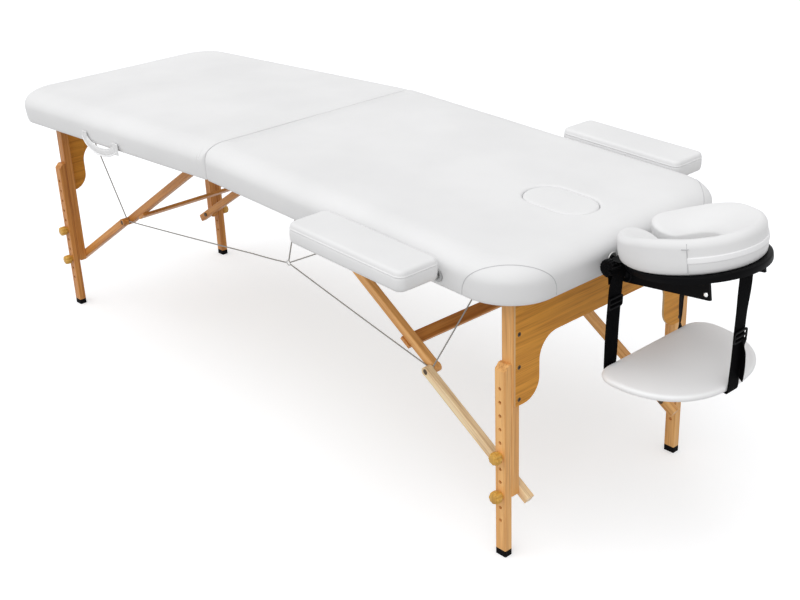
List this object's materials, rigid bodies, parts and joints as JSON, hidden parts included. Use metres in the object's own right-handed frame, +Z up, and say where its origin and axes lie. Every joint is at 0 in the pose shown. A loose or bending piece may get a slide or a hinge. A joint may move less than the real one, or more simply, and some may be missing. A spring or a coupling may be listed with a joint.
{
  "type": "folding massage table",
  "caption": "Folding massage table: padded halves hinged in the middle, wooden leg frames with folding braces and cables, plug-in armrests, face rest and hanging arm shelf.",
  "frame": {"origin": "on the floor under the centre hinge, midway between the two sides", "axes": "+X towards the head end with the face rest, +Y towards the far side, +Z up"},
  "size_m": [2.2686, 0.968, 0.7465],
  "materials": {
    "cover": "satin white cover",
    "handle_cover": "satin white strap",
    "leg_wood": "clear lacquer",
    "panel_wood": "clear lacquer",
    "knob_wood": "turned, clear lacquer",
    "deck_board": "plain plywood",
    "rubber": "matte",
    "webbing": "woven",
    "black_plastic": "satin black",
    "steel": "zinc plated",
    "cable_steel": "wire rope"
  },
  "bodies": {
    "head_half": {"head_pad": "cover", "head_frame_rails": "leg_wood", "head_deck": "deck_board", "centre_hinge_head": "steel", "head_brackets": "steel", "head_pivot_bolts": "steel", "head_bushes": "steel", "head_cables": "cable_steel"},
    "foot_half": {"foot_pad": "cover", "foot_frame_rails": "leg_wood", "foot_deck": "deck_board", "centre_hinge_foot": "steel", "foot_brackets": "steel", "foot_pivot_bolts": "steel", "carry_handle": "handle_cover", "foot_cables": "cable_steel"},
    "face_plug": {"face_plug": "cover"},
    "near_armrest": {"near_armrest_pad": "cover", "near_armrest_pins": "steel"},
    "far_armrest": {"far_armrest_pad": "cover", "far_armrest_pins": "steel"},
    "face_rest_base": {"face_rest_yoke": "black_plastic"},
    "face_rest_head": {"face_rest_arms": "black_plastic", "face_rest_platform": "black_plastic", "face_cushion": "cover"},
    "face_rest_knob": {"face_rest_knob": "black_plastic"},
    "hanging_shelf": {"arm_shelf": "cover", "shelf_straps": "webbing", "strap_buckles": "black_plastic"},
    "head_leg_frame": {"head_posts": "leg_wood", "head_end_panel": "panel_wood", "head_panel_screws": "steel"},
    "head_upper_brace": {"head_upper_braces": "leg_wood", "head_crossbar": "leg_wood"},
    "head_lower_brace": {"head_lower_braces": "leg_wood", "head_brace_bolts": "steel"},
    "head_near_leg": {"head_near_lower_leg": "leg_wood", "head_near_rubber_foot": "rubber"},
    "head_near_lower_knob": {"head_near_lower_knob": "knob_wood"},
    "head_near_upper_knob": {"head_near_upper_knob": "knob_wood"},
    "head_far_leg": {"head_far_lower_leg": "leg_wood", "head_far_rubber_foot": "rubber"},
    "head_far_lower_knob": {"head_far_lower_knob": "knob_wood"},
    "head_far_upper_knob": {"head_far_upper_knob": "knob_wood"},
    "foot_leg_frame": {"foot_posts": "leg_wood", "foot_end_panel": "panel_wood", "foot_panel_screws": "steel"},
    "foot_upper_brace": {"foot_upper_braces": "leg_wood", "foot_crossbar": "leg_wood"},
    "foot_lower_brace": {"foot_lower_braces": "leg_wood", "foot_brace_bolts": "steel"},
    "foot_near_leg": {"foot_near_lower_leg": "leg_wood", "foot_near_rubber_foot": "rubber"},
    "foot_near_lower_knob": {"foot_near_lower_knob": "knob_wood"},
    "foot_near_upper_knob": {"foot_near_upper_knob": "knob_wood"},
    "foot_far_leg": {"foot_far_lower_leg": "leg_wood", "foot_far_rubber_foot": "rubber"},
    "foot_far_lower_knob": {"foot_far_lower_knob": "knob_wood"},
    "foot_far_upper_knob": {"foot_far_upper_knob": "knob_wood"}
  },
  "joints": [
    {"name": "table_fold", "type": "hinge", "parent": "head_half", "child": "foot_half", "pos_m": [0, 0, 0.629], "axis": [0, -1, 0], "range_deg": [0, 175.6], "deforming": ["head_cables", "foot_cables"]},
    {"name": "head_leg_fold", "type": "hinge", "parent": "head_half", "child": "head_leg_frame", "pos_m": [0.90045, 0, 0.62343], "axis": [0, 1, 0], "range_deg": [0, 92.88]},
    {"name": "head_upper_brace_fold", "type": "hinge", "parent": "head_half", "child": "head_upper_brace", "pos_m": [0.13108, 0, 0.65449], "axis": [0, -1, 0], "range_deg": [0, 31.05]},
    {"name": "head_lower_brace_fold", "type": "hinge", "parent": "head_leg_frame", "child": "head_lower_brace", "pos_m": [0.90745, 0, 0.152], "axis": [0, 1, 0], "range_deg": [0, 57.07]},
    {"name": "head_near_leg_height", "type": "slide", "parent": "head_leg_frame", "child": "head_near_leg", "axis": [0, 0, -1], "range_m": [-0.062, 0.155]},
    {"name": "head_near_lower_knob_turn", "type": "hinge", "parent": "head_near_leg", "child": "head_near_lower_knob", "pos_m": [0.90745, -0.2985, 0.15], "axis": [0, -1, 0], "continuous": true},
    {"name": "head_near_upper_knob_turn", "type": "hinge", "parent": "head_near_leg", "child": "head_near_upper_knob", "pos_m": [0.90745, -0.2985, 0.243], "axis": [0, -1, 0], "continuous": true},
    {"name": "head_far_leg_height", "type": "slide", "parent": "head_leg_frame", "child": "head_far_leg", "axis": [0, 0, -1], "range_m": [-0.062, 0.155]},
    {"name": "head_far_lower_knob_turn", "type": "hinge", "parent": "head_far_leg", "child": "head_far_lower_knob", "pos_m": [0.90745, 0.2985, 0.15], "axis": [0, 1, 0], "continuous": true},
    {"name": "head_far_upper_knob_turn", "type": "hinge", "parent": "head_far_leg", "child": "head_far_upper_knob", "pos_m": [0.90745, 0.2985, 0.243], "axis": [0, 1, 0], "continuous": true},
    {"name": "foot_leg_fold", "type": "hinge", "parent": "foot_half", "child": "foot_leg_frame", "pos_m": [-0.90045, 0, 0.62343], "axis": [0, -1, 0], "range_deg": [0, 92.88]},
    {"name": "foot_upper_brace_fold", "type": "hinge", "parent": "foot_half", "child": "foot_upper_brace", "pos_m": [-0.13108, 0, 0.65449], "axis": [0, 1, 0], "range_deg": [0, 31.05]},
    {"name": "foot_lower_brace_fold", "type": "hinge", "parent": "foot_leg_frame", "child": "foot_lower_brace", "pos_m": [-0.90745, 0, 0.152], "axis": [0, -1, 0], "range_deg": [0, 57.07]},
    {"name": "foot_near_leg_height", "type": "slide", "parent": "foot_leg_frame", "child": "foot_near_leg", "axis": [0, 0, -1], "range_m": [-0.062, 0.155]},
    {"name": "foot_near_lower_knob_turn", "type": "hinge", "parent": "foot_near_leg", "child": "foot_near_lower_knob", "pos_m": [-0.90745, -0.276, 0.15], "axis": [0, -1, 0], "continuous": true},
    {"name": "foot_near_upper_knob_turn", "type": "hinge", "parent": "foot_near_leg", "child": "foot_near_upper_knob", "pos_m": [-0.90745, -0.276, 0.243], "axis": [0, -1, 0], "continuous": true},
    {"name": "foot_far_leg_height", "type": "slide", "parent": "foot_leg_frame", "child": "foot_far_leg", "axis": [0, 0, -1], "range_m": [-0.062, 0.155]},
    {"name": "foot_far_lower_knob_turn", "type": "hinge", "parent": "foot_far_leg", "child": "foot_far_lower_knob", "pos_m": [-0.90745, 0.276, 0.15], "axis": [0, 1, 0], "continuous": true},
    {"name": "foot_far_upper_knob_turn", "type": "hinge", "parent": "foot_far_leg", "child": "foot_far_upper_knob", "pos_m": [-0.90745, 0.276, 0.243], "axis": [0, 1, 0], "continuous": true},
    {"name": "near_armrest_pull", "type": "slide", "parent": "head_half", "child": "near_armrest", "axis": [0, -1, 0], "range_m": [0, 0.06]},
    {"name": "far_armrest_pull", "type": "slide", "parent": "head_half", "child": "far_armrest", "axis": [0, 1, 0], "range_m": [0, 0.06]},
    {"name": "face_plug_lift", "type": "slide", "parent": "head_half", "child": "face_plug", "axis": [0.0384, 0, 0.9993], "range_m": [0, 0.09]},
    {"name": "face_rest_pull", "type": "slide", "parent": "head_half", "child": "face_rest_base", "axis": [0.9993, 0, -0.0384], "range_m": [0, 0.085]},
    {"name": "face_rest_tilt", "type": "hinge", "parent": "face_rest_base", "child": "face_rest_head", "pos_m": [1.0444, 0, 0.6194], "axis": [0, -1, 0], "range_deg": [-25, 4]},
    {"name": "shelf_sway", "type": "slide", "parent": "face_rest_head", "child": "hanging_shelf", "axis": [0.9993, 0, -0.0384], "range_m": [-0.0155, 0.0918], "deforming": ["shelf_straps", "strap_buckles"]},
    {"name": "face_rest_knob_turn", "type": "hinge", "parent": "face_rest_base", "child": "face_rest_knob", "pos_m": [1.01158, -0.091, 0.62466], "axis": [0, -1, 0], "continuous": true}
  ],
  "couplings": [
    {"joint": "head_leg_fold", "follows": "table_fold", "ratio": 0.52887},
    {"joint": "head_upper_brace_fold", "follows": "table_fold", "ratio": 0.17677},
    {"joint": "head_lower_brace_fold", "follows": "table_fold", "ratio": 0.32495},
    {"joint": "foot_leg_fold", "follows": "table_fold", "ratio": 0.52887},
    {"joint": "foot_upper_brace_fold", "follows": "table_fold", "ratio": 0.17677},
    {"joint": "foot_lower_brace_fold", "follows": "table_fold", "ratio": 0.32495},
    {"joint": "shelf_sway", "follows": "face_rest_tilt", "m_per_rad": -0.208}
  ]
}
